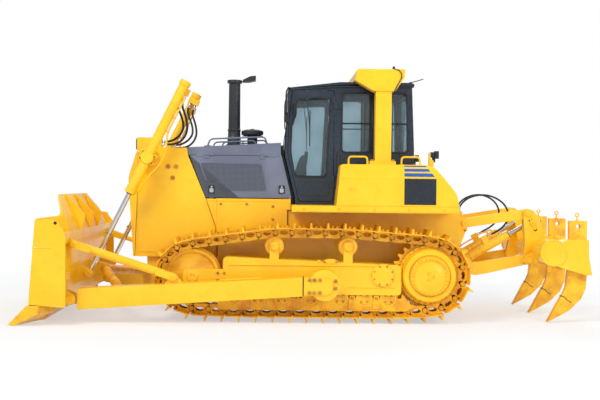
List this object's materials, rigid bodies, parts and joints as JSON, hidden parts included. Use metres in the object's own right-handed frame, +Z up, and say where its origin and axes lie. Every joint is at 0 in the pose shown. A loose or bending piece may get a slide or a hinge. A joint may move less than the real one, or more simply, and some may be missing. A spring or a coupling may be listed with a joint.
{
  "type": "tracked bulldozer with semi-U blade and three-shank ripper",
  "caption": "Track-type bulldozer: yellow hull on steel tracks, enclosed dark cab under a roll-over frame, semi-U blade on push arms in front and a multi-shank ripper behind.",
  "frame": {"origin": "on the ground below the centre of the machine's box, which is within 60 mm of midway between the idler and sprocket axes, on the centre plane between the tracks", "axes": "+X forward towards the blade, +Y to the operator's left, +Z up"},
  "size_m": [7.3599, 3.672, 3.28],
  "materials": {
    "black_enamel": "matt heat-resisting enamel",
    "black_trim": "moulded plastic and vinyl",
    "cab_enamel": "gloss dark enamel on the cab's pressings",
    "cast_iron": "rough casting",
    "glazing": "tinted safety glass",
    "hard_chrome": "ground hard chrome on rods",
    "hose_rubber": "braided hydraulic hose with a rubber cover",
    "slate_enamel": "satin enamel on pressed sheet steel",
    "yellow_enamel": "gloss machine enamel over welded and cast steel"
  },
  "bodies": {
    "tractor": {"air_precleaner": "black_enamel", "cab_frame": "cab_enamel", "cab_roof": "cab_enamel", "control_console": "black_trim", "engine_block": "cast_iron", "engine_hood": "slate_enamel", "exhaust_stack": "black_enamel", "fender_left": "yellow_enamel", "fender_right": "yellow_enamel", "fuel_tank": "yellow_enamel", "idler_left": "yellow_enamel", "idler_right": "yellow_enamel", "lift_hose_left": "hose_rubber", "lift_hose_right": "hose_rubber", "main_hull": "yellow_enamel", "operator_seat": "black_trim", "platform_deck": "yellow_enamel", "radiator_guard": "yellow_enamel", "radiator_mask": "yellow_enamel", "rear_window": "glazing", "ripper_hose_left": "hose_rubber", "ripper_hose_right": "hose_rubber", "rops_frame": "yellow_enamel", "side_window_left": "glazing", "side_window_right": "glazing", "sprocket_left": "yellow_enamel", "sprocket_right": "yellow_enamel", "track_frame_left": "yellow_enamel", "track_frame_right": "yellow_enamel", "track_left": "yellow_enamel", "track_right": "yellow_enamel", "windshield": "glazing"},
    "blade_assembly": {"blade": "yellow_enamel", "cutting_edge": "yellow_enamel", "push_arm_left": "yellow_enamel", "push_arm_right": "yellow_enamel", "blade_brace": "yellow_enamel", "tilt_cylinder": "yellow_enamel", "stabiliser_link": "yellow_enamel"},
    "lift_barrels": {"lift_cylinder_left": "yellow_enamel", "lift_cylinder_right": "yellow_enamel"},
    "lift_rods": {"lift_rod_left": "hard_chrome", "lift_rod_right": "hard_chrome"},
    "ripper_lower": {"ripper_lower_link": "yellow_enamel"},
    "ripper_frame": {"ripper_beam": "yellow_enamel", "ripper_shank_left": "yellow_enamel", "ripper_shank_centre": "yellow_enamel", "ripper_shank_right": "yellow_enamel"},
    "ripper_upper": {"ripper_upper_link_left": "yellow_enamel", "ripper_upper_link_right": "yellow_enamel"},
    "ripper_barrels": {"ripper_cylinder_left": "yellow_enamel", "ripper_cylinder_right": "yellow_enamel"},
    "ripper_rods": {"ripper_rod_left": "hard_chrome", "ripper_rod_right": "hard_chrome"},
    "door_left": {"cab_door_left": "cab_enamel", "door_glass_left": "glazing"},
    "door_right": {"cab_door_right": "cab_enamel", "door_glass_right": "glazing"},
    "cover_left": {"engine_cover_left": "slate_enamel"},
    "cover_right": {"engine_cover_right": "slate_enamel"}
  },
  "joints": [
    {"name": "blade_lift", "type": "hinge", "parent": "tractor", "child": "blade_assembly", "pos_m": [-0.16, 0, 0.51], "axis": [0, -1, 0], "range_deg": [-8.2, 18.5]},
    {"name": "lift_barrel_swing", "type": "hinge", "parent": "tractor", "child": "lift_barrels", "pos_m": [2.15, 0, 2.1], "axis": [0, -1, 0], "range_deg": [-7.43, 16.39], "deforming": ["lift_hose_left", "lift_hose_right"]},
    {"name": "lift_rod_slide", "type": "slide", "parent": "lift_barrels", "child": "lift_rods", "axis": [0.4425, 0, -0.8968], "range_m": [-0.909, 0.406]},
    {"name": "ripper_lift", "type": "hinge", "parent": "tractor", "child": "ripper_lower", "pos_m": [-2.075, 0, 0.659], "axis": [0, 1, 0], "range_deg": [-45, 38]},
    {"name": "ripper_frame_pivot", "type": "hinge", "parent": "ripper_lower", "child": "ripper_frame", "pos_m": [-2.938, 0, 0.797], "axis": [0, 1, 0], "range_deg": [-38.5, 45.5]},
    {"name": "ripper_upper_swing", "type": "hinge", "parent": "tractor", "child": "ripper_upper", "pos_m": [-2.082, 0, 1.268], "axis": [0, 1, 0], "range_deg": [-45.5, 38.5]},
    {"name": "ripper_barrel_swing", "type": "hinge", "parent": "tractor", "child": "ripper_barrels", "pos_m": [-2.1, 0, 0.745], "axis": [0, 1, 0], "range_deg": [-35.4, 29.94], "deforming": ["ripper_hose_left", "ripper_hose_right"]},
    {"name": "ripper_rod_slide", "type": "slide", "parent": "ripper_barrels", "child": "ripper_rods", "axis": [-0.8643, 0, 0.503], "range_m": [-0.255, 0.216]},
    {"name": "door_left_swing", "type": "hinge", "parent": "tractor", "child": "door_left", "pos_m": [-0.306, 0.696, 2.28], "axis": [0, 0, 1], "range_deg": [0, 86]},
    {"name": "door_right_swing", "type": "hinge", "parent": "tractor", "child": "door_right", "pos_m": [-0.306, -0.696, 2.28], "axis": [0, 0, -1], "range_deg": [0, 86]},
    {"name": "cover_left_lift", "type": "hinge", "parent": "tractor", "child": "cover_left", "pos_m": [0.99, 0.65, 2.15], "axis": [1, 0, 0], "range_deg": [0, 80]},
    {"name": "cover_right_lift", "type": "hinge", "parent": "tractor", "child": "cover_right", "pos_m": [0.99, -0.65, 2.15], "axis": [-1, 0, 0], "range_deg": [0, 80]}
  ],
  "couplings": [
    {"joint": "lift_barrel_swing", "follows": "blade_lift", "ratio": 0.87},
    {"joint": "lift_rod_slide", "follows": "blade_lift", "m_per_rad": -2.8},
    {"joint": "ripper_frame_pivot", "follows": "ripper_lift", "ratio": -1},
    {"joint": "ripper_upper_swing", "follows": "ripper_lift", "ratio": 1},
    {"joint": "ripper_barrel_swing", "follows": "ripper_lift", "ratio": 0.78},
    {"joint": "ripper_rod_slide", "follows": "ripper_lift", "m_per_rad": 0.32}
  ]
}
